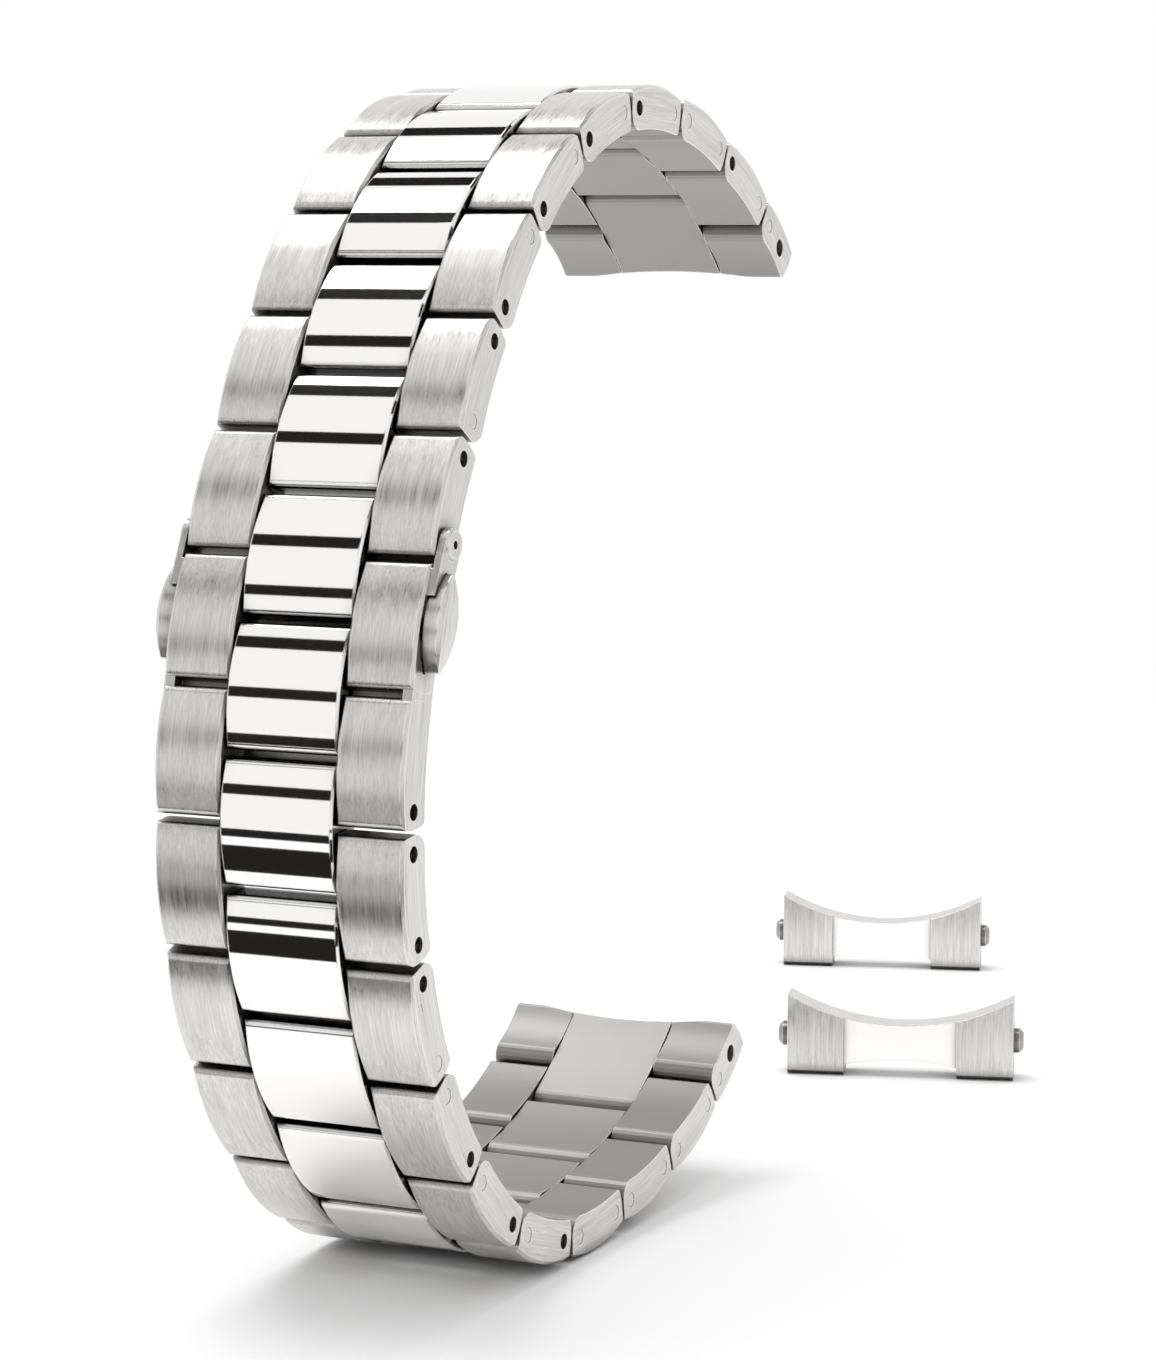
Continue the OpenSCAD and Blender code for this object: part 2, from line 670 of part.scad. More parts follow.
module inner_blade() {
    near = on_curve(inner_blade_r, cover_hinge_turn);
    far = on_curve(blade_hinge_r, blade_hinge_turn);
    z_outer = knuckle_w / 2 + knuckle_gap;
    plate_from = cover_hinge_turn + 1.6;
    plate_to = blade_hinge_turn - 1.6;
    color("darkgray") in_clasp() difference() {
        union() {
            curved_plate(inner_blade_r, blade_t, plate_from, plate_to, blade_w);
            curved_plate(inner_blade_r, blade_t, cover_hinge_turn, plate_from + 0.2, knuckle_w);
            knuckle(near, cover_knuckle_r, -knuckle_w / 2, knuckle_w);
            both_sides() {
                knuckle(far, blade_knuckle_r, z_outer, outer_knuckle_w);
                translate([0, 0, z_outer + outer_knuckle_w / 2])
                    curved_plate(inner_blade_r, blade_t, plate_to - 0.2, blade_hinge_turn, outer_knuckle_w);
            }
        }
        cross_rod(near, hinge_pin_r + pin_clear, band_w);
        cross_rod(far, hinge_pin_r + pin_seat_clear, band_w);
    }
}

module blade_hinge_pin() {
    w = knuckle_w + 2 * (knuckle_gap + outer_knuckle_w);
    color("dimgray") in_clasp() cross_rod(on_curve(blade_hinge_r, blade_hinge_turn), hinge_pin_r, w);
}

// The place of the blade end's pin in the clasp's frame, worked out from the first centre link above it
function blade_end_at() =
    let (turn = cover_bend / 2 + upper_bends[0] / 2, end = on_cover_end())
    [-end[0] - centre_span / 2 * cos(turn), end[1] - centre_span / 2 * sin(turn)]
        + end_pin_depth * [sin(turn), -cos(turn)];

module base_blade() {
    pin = blade_end_at();
    hinge = on_curve(blade_hinge_r, blade_hinge_turn);
    turn = atan2(pin[0], pin[1] + bend_r);
    end_turn = asin(end_knuckle_d / 2 / bend_r);
    color("darkgray") in_clasp() difference() {
        union() {
            curved_plate(base_blade_r, blade_t, turn - end_turn, blade_hinge_turn - 1.6, blade_w);
            curved_plate(base_blade_r, blade_t, blade_hinge_turn - 1.8, blade_hinge_turn, knuckle_w);
            knuckle(hinge, blade_knuckle_r, -knuckle_w / 2, knuckle_w);
            both_sides() {
                blade_end_lug(pin, turn);
                catch_post();
            }
        }
        cross_rod(pin, end_pin_r + pin_seat_clear, 2 * band_w);
        cross_rod(hinge, hinge_pin_r + pin_clear, band_w);
    }
}

// A lug on the blade's end, from the blade up to its pin
module blade_end_lug(pin, turn) {
    drop = norm(pin + [0, bend_r]) - base_blade_r;
    translate([pin[0], pin[1], knuckle_w / 2 + knuckle_gap]) {
        cylinder(d = end_knuckle_d, h = end_lug_t);
        rotate([0, 0, -turn]) translate([-end_knuckle_d / 2, -drop, 0]) cube([end_knuckle_d, drop, end_lug_t]);
    }
}

// The post that a button's hook catches
module catch_post() {
    foot = on_curve(base_blade_r, post_turn);
    translate([foot[0], foot[1], post_in]) rotate([0, 0, -post_turn])
        translate([-hook_l / 2, 0, 0]) cube([hook_l, bend_r - base_blade_r - inner_depth + 0.6, hook_t]);
}

module blade_end_pin() {
    w = knuckle_w + 2 * (knuckle_gap + end_lug_t) - 0.05;
    color("dimgray") in_clasp() cross_rod(blade_end_at(), end_pin_r, w);
}

// A loose end link stands on its wings with its brushed face towards -y and its horns up
module at_end_link(at) {
    translate([at[0] - set_mid[0], at[1] - set_mid[1], 0]) rotate([0, 0, end_link_turn]) children();
}

// Side outline of a wing: x is depth, y is height
module wing_outline() {
    toe = 1.2;
    horn_r = 0.25;
    face_r = 30;
    intersection() {
        union() {
            translate([wing_foot_r, wing_foot_r]) circle(wing_foot_r);
            translate([end_link_t - toe, toe]) circle(toe);
            translate([horn_r, end_link_h - horn_r]) circle(horn_r);
            polygon([[wing_foot_r, 0], [end_link_t - toe, 0], [end_link_t, toe], [end_link_t, end_link_h],
                     [horn_r, end_link_h], [0, end_link_h - horn_r], [0, wing_foot_r]]);
        }
        translate([face_r, end_link_h * 0.45]) circle(face_r, $fn = 180);
    }
}

module end_link_body(at) {
    half_w = end_link_w / 2;
    top_mid = end_link_h + sqrt(case_r * case_r - half_w * half_w) - case_r;
    arch_r = (strip_w * strip_w / 4 + strip_rise * strip_rise) / (2 * strip_rise);
    pin_depth = end_link_t / 2;
    color("silver") at_end_link(at) difference() {
        rotate([90, 0, 90]) across(end_link_w) wing_outline();
        translate([0, 0, top_mid + case_r]) rotate([90, 0, 0])
            cylinder(r = case_r, h = 4 * end_link_t, center = true, $fn = 180);
        // The recess of the centre strip, and the arch below it
        translate([-strip_w / 2, -1, -1]) cube([strip_w, 1 + strip_recess, end_link_h + 2]);
        intersection() {
            translate([-strip_w / 2, -1, -1]) cube([strip_w, 2 + end_link_t, 1.1 + strip_foot + strip_rise]);
            translate([0, 0, strip_foot + strip_rise - arch_r]) rotate([90, 0, 0])
                cylinder(r = arch_r, h = 4 * end_link_t, center = true, $fn = 180);
        }
        translate([-notch_w / 2, strip_t, -1]) cube([notch_w, end_link_t, 1 + notch_h]);
        // The pin bore through both wings and the bores of the sprung bar
        end_link_rod(pin_depth, end_link_pin_height, end_link_pin_r, 2 * end_link_w);
        end_link_rod(pin_depth, bar_height, bar_spring_bore / 2, end_link_w);
        for (s = [-1, 1]) translate([s * half_w, pin_depth, bar_height]) rotate([0, -s * 90, 0])
            translate([0, 0, -1])
                cylinder(r = plunger_d / 2 + plunger_step + plunger_clear, h = plunger_in + 1 + plunger_out);
    }
}

module end_link_rod(y, z, r, w) {
    translate([-w / 2, y, z]) rotate([0, 90, 0]) cylinder(r = r, h = w);
}

module plunger(at, s) {
    l = plunger_in + plunger_out;
    color("gray") at_end_link(at) translate([s * (end_link_w / 2 + plunger_out), end_link_t / 2, bar_height])
        rotate([0, -s * 90, 0]) {
            cylinder(d1 = plunger_d - 2 * plunger_chamfer, d2 = plunger_d, h = plunger_chamfer);
            translate([0, 0, plunger_chamfer]) cylinder(d = plunger_d, h = plunger_out);
            translate([0, 0, plunger_out]) cylinder(r = plunger_d / 2 + plunger_step, h = plunger_in);
        }
}

module bar_spring(at) {
    w = end_link_w - 2 * (plunger_in + plunger_out) - 0.1;
    color("gray") at_end_link(at) difference() {
        end_link_rod(end_link_t / 2, bar_height, bar_spring_bore / 2 - 0.05, w);
        end_link_rod(end_link_t / 2, bar_height, bar_spring_bore / 2 - 0.3, w + 1);
    }
}

for (i = [1 : full_rows]) {
    outer_pair(-1, i);
    outer_pair(1, i);
    centre_link(-1, i - 1);
    centre_link(1, i - 1);
}
end_centre(-1);  // upper_end_centre
end_sides(-1);  // upper_end_sides
end_centre(1);  // lower_end_centre
end_sides(1);  // lower_end_sides
clasp_cover();
clasp_bridge();
cover_pins();
left_button();
right_button();
button_springs();
inner_blade();
blade_hinge_pin();
base_blade();
blade_end_pin();
end_link_body(near_link_at);  // near_end_link
plunger(near_link_at, -1);  // near_left_plunger
plunger(near_link_at, 1);  // near_right_plunger
bar_spring(near_link_at);  // near_bar_spring
end_link_body(far_link_at);  // far_end_link
plunger(far_link_at, -1);  // far_left_plunger
plunger(far_link_at, 1);  // far_right_plunger
bar_spring(far_link_at);  // far_bar_spring
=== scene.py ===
import json
import math

import bpy
from bpy.props import FloatProperty, FloatVectorProperty, PointerProperty, StringProperty
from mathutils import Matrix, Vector


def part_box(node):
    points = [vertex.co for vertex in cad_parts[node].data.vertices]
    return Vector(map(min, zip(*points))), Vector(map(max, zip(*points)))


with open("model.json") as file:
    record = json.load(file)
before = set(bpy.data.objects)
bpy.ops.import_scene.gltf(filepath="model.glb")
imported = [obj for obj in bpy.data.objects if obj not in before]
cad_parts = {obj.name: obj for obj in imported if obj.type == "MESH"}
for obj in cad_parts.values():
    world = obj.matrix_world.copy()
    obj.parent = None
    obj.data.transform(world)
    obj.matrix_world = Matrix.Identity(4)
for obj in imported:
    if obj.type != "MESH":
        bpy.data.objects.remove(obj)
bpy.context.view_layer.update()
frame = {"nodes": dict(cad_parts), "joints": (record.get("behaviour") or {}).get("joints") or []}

bl_info = {
    "name": "Metal Watch Bracelet",
    "version": (1, 0, 0),
    "blender": (4, 5, 0),
    "location": "View3D > Sidebar > Bracelet",
    "description": "Finishes a three-row steel watch bracelet and its loose end links, and sets its studio",
    "category": "Object",
}

NODES = frame["nodes"]
PINS = {joint["name"]: Vector(joint["pos_m"]) for joint in frame["joints"] if "pos_m" in joint}
# The middle of the clasp, between its two rows, from which the studio is laid out
CLASP_MIDDLE = Vector((0, -0.06955, 0.04419))
# Direction of the band in the clasp, and of the first centre link above it, from +Y towards +Z
CLASP_TURN = math.radians(256.5)
FIRST_LINK_TURN = math.radians(256.5 - 9.5)
# Bend of each free end against the last full links
END_BENDS = {"upper": math.radians(-10), "lower": math.radians(13)}
# Turn of the loose end links on the floor, and half the width of their polished strip
END_LINK_TURN = math.radians(16)
STRIP_HALF = 0.00497

# Share of fine lines in the brushing, and how much coarser the broad ones are, across and along
FINE_SHARE = 0.7
BROAD_ACROSS = 0.17
BROAD_ALONG = 0.6
# The part of the noise that is spread from dark to bright
NOISE_LOW, NOISE_HIGH = 0.34, 0.66
# Shades of the base colour: in and on the brushed lines, painted shade on the wrist side, and painted shade in the
# narrow gaps
LINE_DARK, LINE_BRIGHT = 0.78, 1.18
WRIST_PAINTED_SHADE = 0.52
GAP_PAINTED_SHADE = 0.06
GAP_SHADE_FALL = 1.6
# Swing of the roughness in the lines, and how much rougher the wrist side is
ROUGH_SWING = 0.06
WRIST_ROUGH = 0.14
# How fast an edge takes its smooth finish and painted highlight as its rounding begins
EDGE_GAIN = 18.0
ANISOTROPY = 0.6
# How far a face has to look inwards, outwards or to the front to take the finish of that side
WRIST_LIMIT = 0.6
OUTER_LIMIT = -0.35
FRONT_LIMIT = -0.3

# Flags by their angle round the clasp and their width, and those on the floor by their place and width
FLAGS = ((60, 0.09), (96, 0.08), (132, 0.07), (166, 0.06))
FLAG_LENGTH = 1.2
FLOOR_FLAGS = (("near_floor_flag", -0.131, 0.044), ("far_floor_flag", -0.215, 0.06))
FLOOR_FLAG_LENGTH = 0.5
FLOOR_FLAG_HEIGHT = 0.0008
FLOOR_SIZE = 12
LAMP_PLACE = (-0.15, 0.0, 0.7)
LAMP_AIM = Vector((0, 0.01, 0))
LAMP_WIDTH = 0.5
SENSOR_HEIGHT = 36


def linear(hex_colour):
    """An sRGB hex colour as a linear RGBA tuple."""
    values = [int(hex_colour[i:i + 2], 16) / 255 for i in (1, 3, 5)]
    return tuple(v / 12.92 if v <= 0.04045 else ((v + 0.055) / 1.055) ** 2.4 for v in values) + (1.0,)


def add_node(tree, kind, settings=None, **inputs):
    """Adds a node with its settings. Each input, by name or as i and its number, is a value or a socket."""
    node = tree.nodes.new(kind)
    for key, value in (settings or {}).items():
        setattr(node, key, value)
    for key, value in inputs.items():
        numbered = key[0] == "i" and key[1:].isdigit()
        socket = node.inputs[int(key[1:]) if numbered else key.replace("_", " ")]
        if isinstance(value, bpy.types.NodeSocket):
            tree.links.new(value, socket)
        else:
            socket.default_value = value
    return node


def new_material(name):
    """An empty node material and its tree."""
    material = bpy.data.materials.new(name)
    material.use_nodes = True
    material.node_tree.nodes.clear()
    return material, material.node_tree


def shaded(colour, share):
    """A linear colour at a share of its brightness, as RGBA."""
    return tuple(min(1.0, share * value) for value in colour[:3]) + (1.0,)


def math_node(tree, operation, a, b=0.0, clamp=False):
    return add_node(tree, "ShaderNodeMath", {"operation": operation, "use_clamp": clamp}, i0=a, i1=b).outputs[0]


def mix_value(tree, factor, a, b):
    return add_node(tree, "ShaderNodeMix", {"data_type": "FLOAT"}, i0=factor, i2=a, i3=b).outputs[0]


def mix_colour(tree, factor, a, b):
    return add_node(tree, "ShaderNodeMix", {"data_type": "RGBA"}, i0=factor, i6=a, i7=b).outputs[2]


def steel(name, finish, turn=0.0, axis="X", polished=False, shade=None, strip_middle=None):
    """Stainless steel, milled and then brushed along the band, with edges polished smooth under a painted
    highlight, and painted shade in the narrow gaps. turn is the angle of the piece, so that the brushing runs
    along it. polished gives a mirror
    on its outer side, and strip_middle one on the recessed strip of a loose end link that stands there."""
    material, tree = new_material(name)
    coords = add_node(tree, "ShaderNodeTexCoord")
    spin = (-turn, 0, 0) if axis == "X" else (0, 0, -turn)
    local = add_node(tree, "ShaderNodeMapping", {"vector_type": "POINT"},
                     Vector=coords.outputs["Object"], Rotation=spin).outputs[0]
    normal = add_node(tree, "ShaderNodeMapping", {"vector_type": "VECTOR"},
                      Vector=coords.outputs["Normal"], Rotation=spin).outputs[0]
    grain = 1 / finish.grain_width
    run = 1 / finish.grain_length
    # On a loose end link the brushing runs up the wing, along the row's Z
    lines = (grain, run, grain) if axis == "X" else (grain, grain, run)
    fine = add_node(tree, "ShaderNodeMapping", {"vector_type": "POINT"}, Vector=local, Scale=lines).outputs[0]
    broad = add_node(tree, "ShaderNodeMapping", {"vector_type": "POINT"}, Vector=local,
                     Scale=tuple(BROAD_ACROSS * s if s == grain else BROAD_ALONG * s for s in lines)).outputs[0]
    fine_noise = add_node(tree, "ShaderNodeTexNoise", {}, Vector=fine, Scale=1.0, Detail=3.0,
                          Roughness=0.65).outputs[0]
    broad_noise = add_node(tree, "ShaderNodeTexNoise", {}, Vector=broad, Scale=1.0, Detail=2.0).outputs[0]
    brushing = math_node(tree, "ADD", math_node(tree, "MULTIPLY", fine_noise, FINE_SHARE),
                         math_node(tree, "MULTIPLY", broad_noise, 1 - FINE_SHARE))
    brushing = add_node(tree, "ShaderNodeMapRange", {}, i0=brushing, i1=NOISE_LOW, i2=NOISE_HIGH).outputs[0]
    # Close to an edge the rounded normal leaves the flat one, and the buffing wheel has taken the lines away; there
    # the colour is also painted brighter as a painted highlight
    rounded = add_node(tree, "ShaderNodeBevel", {"samples": 6}, Radius=finish.edge_round).outputs[0]
    flat = add_node(tree, "ShaderNodeNewGeometry").outputs["Normal"]
    facing = add_node(tree, "ShaderNodeVectorMath", {"operation": "DOT_PRODUCT"}, i0=rounded, i1=flat).outputs["Value"]
    edge = math_node(tree, "MULTIPLY", math_node(tree, "SUBTRACT", 1.0, facing), EDGE_GAIN, True)
    base = shade or finish.brushed_colour
    colour = mix_colour(tree, brushing, shaded(base, LINE_DARK), shaded(base, LINE_BRIGHT))
    roughness = mix_value(tree, brushing, finish.brushed_roughness - ROUGH_SWING,
                          finish.brushed_roughness + ROUGH_SWING)
    relief = mix_value(tree, edge, finish.grain_depth, 0.0)
    parts = add_node(tree, "ShaderNodeSeparateXYZ", {}, Vector=normal).outputs
    if axis == "X":
        # The wrist side is left satin and rougher, and its colour is painted a little darker than the faces that show,
        # as painted shade
        wrist_side = math_node(tree, "GREATER_THAN", parts[2], WRIST_LIMIT)
        colour = mix_colour(tree, wrist_side, colour, shaded(base, WRIST_PAINTED_SHADE))
        roughness = mix_value(tree, wrist_side, roughness, finish.brushed_roughness + WRIST_ROUGH)
    mirror = None
    if polished:
        mirror = math_node(tree, "GREATER_THAN", math_node(tree, "MULTIPLY", parts[2], -1.0), OUTER_LIMIT)
    elif strip_middle is not None:
        place = add_node(tree, "ShaderNodeSeparateXYZ", {}, Vector=local).outputs[0]
        middle = strip_middle[0] * math.cos(turn) + strip_middle[1] * math.sin(turn)
        off = math_node(tree, "ABSOLUTE", math_node(tree, "SUBTRACT", place, middle))
        mirror = math_node(tree, "MULTIPLY", math_node(tree, "LESS_THAN", off, STRIP_HALF),
                           math_node(tree, "LESS_THAN", parts[1], FRONT_LIMIT))
    if mirror is not None:
        colour = mix_colour(tree, mirror, colour, shaded(finish.polished_colour, 1.0))
        roughness = mix_value(tree, mirror, roughness, finish.polished_roughness)
        relief = math_node(tree, "MULTIPLY", relief, math_node(tree, "SUBTRACT", 1.0, mirror))
    # Painted highlight: the edges take a brighter colour than the faces
    colour = mix_colour(tree, edge, colour, shaded(finish.edge_highlight_colour, 1.0))
    roughness = mix_value(tree, edge, roughness, finish.edge_roughness)
    # Painted shade: ambient occlusion darkens the colour in the narrow gaps and under neighbouring parts, towards a
    # near-black share of the base colour
    open_air = add_node(tree, "ShaderNodeAmbientOcclusion", {"samples": 4, "only_local": False},
                        Distance=finish.gap_shade_reach).outputs["AO"]
    clear = math_node(tree, "POWER", open_air, GAP_SHADE_FALL)
    colour = mix_colour(tree, clear, shaded(base, GAP_PAINTED_SHADE), colour)
    bump = add_node(tree, "ShaderNodeBump", {}, Strength=1.0, Distance=relief, Height=brushing, Normal=rounded)
    # The lines blur a reflection across themselves, so the rough way of the shine lies across the lines
    across = (1, 0, 0) if axis == "X" else (math.cos(turn), math.sin(turn), 0)
    across = add_node(tree, "ShaderNodeVectorTransform", {"vector_type": "VECTOR", "convert_from": "OBJECT",
                                                          "convert_to": "WORLD"}, Vector=across).outputs[0]
    shader = add_node(tree, "ShaderNodeBsdfPrincipled", {}, Base_Color=colour, Metallic=1.0, Roughness=roughness,
                      Anisotropic=0.0 if polished else ANISOTROPY, Tangent=across, Normal=bump.outputs[0])
    add_node(tree, "ShaderNodeOutputMaterial", {}, Surface=shader.outputs[0])
    return material


def dress(node_name, material):
    """Gives a piece its material."""
    for slot in NODES[node_name].material_slots:
        slot.material = material


def row_turn(strand, first_pin, second_pin):
    """The band's direction between two pins, from +Y towards +Z, down the band on either strand."""
    way = PINS[second_pin] - PINS[first_pin]
    return math.atan2(way.z, way.y) + (0 if strand == "lower" else math.pi)


class BraceletFinish(bpy.types.PropertyGroup):
    brushed_colour: FloatVectorProperty(name="Brushed steel", description="Colour of the brushed faces",
                                        subtype="COLOR", size=3, min=0, max=1, default=linear("#D3D1CF")[:3])
    polished_colour: FloatVectorProperty(name="Polished steel", description="Colour of the mirror faces",
                                         subtype="COLOR", size=3, min=0, max=1, default=linear("#F4F3F2")[:3])
    # The buffed edges are smoother, and painted brighter than the brushed faces as a painted highlight
    edge_highlight_colour: FloatVectorProperty(name="Edges", description="Colour of the buffed edges",
                                     subtype="COLOR", size=3, min=0, max=1, default=linear("#F0EFEE")[:3])
    dark_colour: FloatVectorProperty(name="Inner steel", description="Colour of pins, springs and blades",
                                     subtype="COLOR", size=3, min=0, max=1, default=linear("#A3A19F")[:3])
    brushed_roughness: FloatProperty(name="Brushed roughness", description="Roughness of the brushed faces",
                                     min=0, max=1, default=0.32)
    polished_roughness: FloatProperty(name="Polished roughness", description="Roughness of the mirror faces",
                                      min=0, max=1, default=0.04)
    edge_roughness: FloatProperty(name="Edge roughness", description="Roughness of the buffed edges",
                                  min=0, max=1, default=0.16)
    grain_width: FloatProperty(name="Line spacing", unit="LENGTH", default=0.00013,
                               description="Distance between brushed lines, drawn coarse enough to show")
    grain_length: FloatProperty(name="Line length", description="Length of a brushed line",
                                unit="LENGTH", default=0.006)
    grain_depth: FloatProperty(name="Line depth", description="Depth of the brushed lines",
                               unit="LENGTH", default=0.000004)
    edge_round: FloatProperty(name="Edge rounding", description="Radius that the edges are buffed to",
                              unit="LENGTH", default=0.00012)
    # Reach of the painted shade in the narrow gaps
    gap_shade_reach: FloatProperty(name="Gap reach", description="Width of the gaps that oil darkens",
                             unit="LENGTH", default=0.0012)


class BraceletStudio(bpy.types.PropertyGroup):
    camera_place: FloatVectorProperty(name="Camera", description="Place of the camera from the clasp's middle",
                                      subtype="TRANSLATION", size=3, default=(0.12298, -0.21723, 0.03058))
    camera_yaw: FloatProperty(name="Yaw", description="Turn of the camera to the left of +Y", subtype="ANGLE",
                              default=math.radians(25.18))
    camera_pitch: FloatProperty(name="Pitch", description="Turn of the camera below the horizon", subtype="ANGLE",
                                default=math.radians(6.856))
    camera_lens: FloatProperty(name="Focal length", description="On a 36 mm high sensor, in millimetres",
                               default=99.35)
    floor_colour: StringProperty(name="Floor", description="Colour of the floor and of the room", default="#FBFBFB")
    room_strength: FloatProperty(name="Room light", description="Strength of the even light of the room", default=0.86)
    lamp_power: FloatProperty(name="Lamp", description="Power of the overhead lamp", unit="POWER", default=2.2)
    flag_distance: FloatProperty(name="Flag distance", description="Distance of the black flags from the clasp",
                                 unit="LENGTH", default=0.5)
    floor_fade: FloatProperty(name="Floor edge", description="Distance at which the floor passes into the white room",
                              unit="LENGTH", default=0.35)


class BRACELET_OT_outer_links(bpy.types.Operator):
    """Brushed steel along each pair of outer links"""
    bl_idname = "bracelet.outer_links"
    bl_label = "Outer links"

    def execute(self, context):
        finish = context.scene.bracelet_finish
        for strand in ("upper", "lower"):
            for i in range(1, 9):
                name = f"{strand}_outer_links_{i}"
                end = f"{strand}_end_turn" if i == 8 else f"{strand}_centre_link_{i + 1}_turn"
                turn = row_turn(strand, name + "_turn", end)
                dress(name, steel(name + "_brushed_steel", finish, turn))
        return {"FINISHED"}


class BRACELET_OT_centre_links(bpy.types.Operator):
    """Mirror polish outside and brushed steel inside on each centre link"""
    bl_idname = "bracelet.centre_links"
    bl_label = "Centre links"

    def execute(self, context):
        finish = context.scene.bracelet_finish
        for strand in ("upper", "lower"):
            for i in range(1, 9):
                name = f"{strand}_centre_link_{i}"
                if name == "upper_centre_link_1":
                    turn = FIRST_LINK_TURN
                else:
                    turn = row_turn(strand, name + "_turn", f"{strand}_outer_links_{i}_turn")
                dress(name, steel(name + "_polished_steel", finish, turn, polished=True))
        dress("clasp_bridge", steel("clasp_bridge_polished_steel", finish, CLASP_TURN, polished=True))
        return {"FINISHED"}


class BRACELET_OT_free_ends(bpy.types.Operator):
    """Steel on the short outer links and the long centre link at each free end"""
    bl_idname = "bracelet.free_ends"
    bl_label = "Free ends"

    def execute(self, context):
        finish = context.scene.bracelet_finish
        for strand in ("upper", "lower"):
            turn = row_turn(strand, f"{strand}_outer_links_8_turn", f"{strand}_end_turn") + END_BENDS[strand]
            dress(f"{strand}_end_sides", steel(f"{strand}_end_brushed_steel", finish, turn))
            dress(f"{strand}_end_centre", steel(f"{strand}_end_polished_steel", finish, turn, polished=True))
        return {"FINISHED"}


class BRACELET_OT_clasp(bpy.types.Operator):
    """Brushed steel on the clasp cover and the buttons, darker steel on the blades, pins and springs"""
    bl_idname = "bracelet.clasp"
    bl_label = "Clasp"

    def execute(self, context):
        finish = context.scene.bracelet_finish
        turn = CLASP_TURN
        dress("clasp_cover", steel("clasp_cover_brushed_steel", finish, turn))
        button = steel("button_turned_steel", finish, turn)
        for name in ("left_button", "right_button"):
            dress(name, button)
        blade = steel("blade_rolled_steel", finish, turn, shade=tuple(finish.dark_colour))
        for name in ("inner_blade", "base_blade"):
            dress(name, blade)
        pin = steel("pin_drawn_steel", finish, turn, shade=tuple(finish.dark_colour))
        for name in ("cover_pins", "blade_hinge_pin", "blade_end_pin", "button_springs"):
            dress(name, pin)
        return {"FINISHED"}


class BRACELET_OT_end_links(bpy.types.Operator):
    """Brushed wings and a polished strip on the two loose end links, turned steel on their stubs"""
    bl_idname = "bracelet.end_links"
    bl_label = "Loose end links"

    def execute(self, context):
        finish = context.scene.bracelet_finish
        stub = steel("stub_turned_steel", finish, END_LINK_TURN, axis="Z", shade=tuple(finish.dark_colour))
        for place in ("near", "far"):
            low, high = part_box(f"{place}_end_link")
            middle = ((low[0] + high[0]) / 2, (low[1] + high[1]) / 2)
            dress(f"{place}_end_link", steel(f"{place}_end_link_brushed_steel", finish, END_LINK_TURN, axis="Z",
                                             strip_middle=middle))
            for part in ("left_plunger", "right_plunger", "bar_spring"):
                dress(f"{place}_{part}", stub)
        return {"FINISHED"}


def flag(name, centre, angle, distance, width, length):
    """A strip of black cloth beside the lights, its angle from +Y towards +Z; only mirrors see it."""
    way = Vector((0, math.cos(angle), math.sin(angle)))
    bpy.ops.mesh.primitive_plane_add(size=1, location=centre + distance * way, rotation=(angle + math.pi / 2, 0, 0))
    strip = bpy.context.object
    strip.name = name
    strip.scale = (length, width, 1)
    bpy.ops.object.transform_apply(location=True, rotation=True, scale=True)
    for kind in ("camera", "diffuse", "shadow", "transmission", "volume_scatter"):
        setattr(strip, "visible_" + kind, False)
    return strip


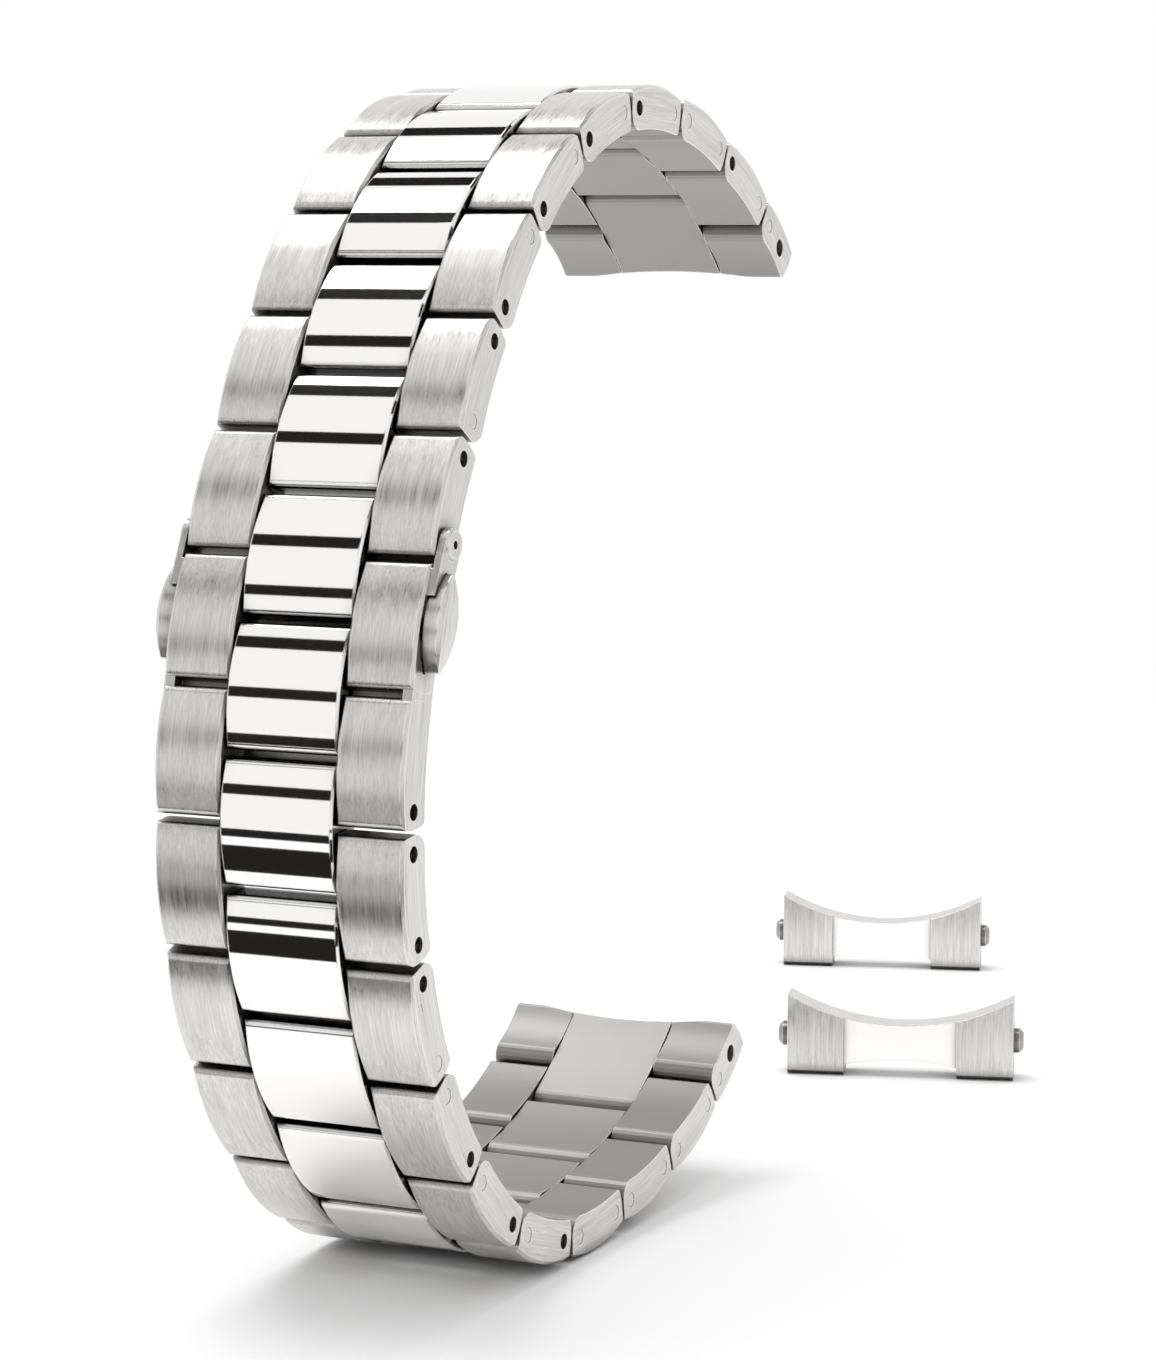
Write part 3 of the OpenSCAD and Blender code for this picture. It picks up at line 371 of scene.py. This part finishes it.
class BRACELET_OT_stage(bpy.types.Operator):
    """White floor and room, overhead lamp, black flags for the mirror faces, and the camera"""
    bl_idname = "bracelet.stage"
    bl_label = "Stage"

    def execute(self, context):
        studio = context.scene.bracelet_studio
        bpy.ops.object.select_all(action="DESELECT")
        bpy.ops.mesh.primitive_plane_add(size=FLOOR_SIZE, location=(0, 0, 0))
        floor = context.object
        floor.name = "floor"
        material, tree = new_material("floor_white_paper")
        paper = add_node(tree, "ShaderNodeBsdfPrincipled", {}, Base_Color=linear(studio.floor_colour), Roughness=0.9)
        white = add_node(tree, "ShaderNodeEmission", {}, Color=(1, 1, 1, 1), Strength=1.0)
        # The paper runs out into the white of the room, well clear of the shadows
        place = add_node(tree, "ShaderNodeTexCoord").outputs["Object"]
        away = add_node(tree, "ShaderNodeVectorMath", {"operation": "LENGTH"}, i0=place).outputs["Value"]
        fade = add_node(tree, "ShaderNodeMapRange", {"interpolation_type": "SMOOTHSTEP"}, i0=away,
                        i1=0.5 * studio.floor_fade, i2=studio.floor_fade).outputs[0]
        sheet = add_node(tree, "ShaderNodeMixShader", {}, i0=fade, i1=paper.outputs[0], i2=white.outputs[0])
        add_node(tree, "ShaderNodeOutputMaterial", {}, Surface=sheet.outputs[0])
        floor.data.materials.append(material)
        black, tree = new_material("flag_black_cloth")
        shader = add_node(tree, "ShaderNodeEmission", {}, Color=linear("#242322"), Strength=1.0)
        add_node(tree, "ShaderNodeOutputMaterial", {}, Surface=shader.outputs[0])
        flags = [flag(f"flag_{turn}", CLASP_MIDDLE, math.radians(turn), studio.flag_distance, width, FLAG_LENGTH)
                 for turn, width in FLAGS]
        # Two more lie on the floor before the band, out of the picture, for the links that face down
        flags += [flag(name, Vector((0, place, FLOOR_FLAG_HEIGHT)), -math.pi / 2, 0, width, FLOOR_FLAG_LENGTH)
                  for name, place, width in FLOOR_FLAGS]
        for strip in flags:
            strip.data.materials.append(black)
        world = bpy.data.worlds.new("white_room")
        context.scene.world = world
        world.use_nodes = True
        tree = world.node_tree
        tree.nodes.clear()
        path = add_node(tree, "ShaderNodeLightPath").outputs
        seen = math_node(tree, "MAXIMUM", math_node(tree, "MAXIMUM", path["Is Camera Ray"], path["Is Glossy Ray"]),
                         path["Is Transmission Ray"])
        strength = mix_value(tree, seen, studio.room_strength, 1.0)
        room = add_node(tree, "ShaderNodeBackground", {}, Color=(1, 1, 1, 1), Strength=strength)
        add_node(tree, "ShaderNodeOutputWorld", {}, Surface=room.outputs[0])
        bpy.ops.object.light_add(type="AREA", location=LAMP_PLACE)
        lamp = context.object
        lamp.name = "overhead_lamp"
        lamp.data.shape = "DISK"
        lamp.data.size = LAMP_WIDTH
        lamp.data.energy = studio.lamp_power
        lamp.rotation_euler = (LAMP_AIM - lamp.location).to_track_quat("-Z", "Y").to_euler()
        yaw, pitch = studio.camera_yaw, studio.camera_pitch
        way = Vector((-math.sin(yaw) * math.cos(pitch), math.cos(yaw) * math.cos(pitch), -math.sin(pitch)))
        bpy.ops.object.camera_add(location=CLASP_MIDDLE + Vector(studio.camera_place),
                                  rotation=way.to_track_quat("-Z", "Y").to_euler())
        camera = context.object
        camera.name = "photo_camera"
        camera.data.sensor_fit = "VERTICAL"
        camera.data.sensor_height = SENSOR_HEIGHT
        camera.data.lens = studio.camera_lens
        camera.data.clip_start = 0.01
        camera.data.dof.use_dof = False
        context.scene.camera = camera
        context.scene.view_settings.view_transform = "Standard"
        return {"FINISHED"}


class BRACELET_PT_panel(bpy.types.Panel):
    """The bracelet's finishes and its studio"""
    bl_label = "Metal watch bracelet"
    bl_idname = "BRACELET_PT_panel"
    bl_space_type = "VIEW_3D"
    bl_region_type = "UI"
    bl_category = "Bracelet"

    def draw(self, context):
        for group in (context.scene.bracelet_finish, context.scene.bracelet_studio):
            box = self.layout.box()
            for key in group.__annotations__:
                box.prop(group, key)
        for operator in OPERATORS:
            self.layout.operator(operator.bl_idname)


OPERATORS = (BRACELET_OT_outer_links, BRACELET_OT_centre_links, BRACELET_OT_free_ends, BRACELET_OT_clasp,
             BRACELET_OT_end_links, BRACELET_OT_stage)
CLASSES = (BraceletFinish, BraceletStudio) + OPERATORS + (BRACELET_PT_panel,)


def register():
    for cls in CLASSES:
        bpy.utils.register_class(cls)
    bpy.types.Scene.bracelet_finish = PointerProperty(type=BraceletFinish)
    bpy.types.Scene.bracelet_studio = PointerProperty(type=BraceletStudio)


def unregister():
    del bpy.types.Scene.bracelet_finish
    del bpy.types.Scene.bracelet_studio
    for cls in reversed(CLASSES):
        bpy.utils.unregister_class(cls)


def main():
    register()
    bpy.ops.bracelet.outer_links()
    bpy.ops.bracelet.centre_links()
    bpy.ops.bracelet.free_ends()
    bpy.ops.bracelet.clasp()
    bpy.ops.bracelet.end_links()
    bpy.ops.bracelet.stage()


if __name__ == "__main__":
    main()
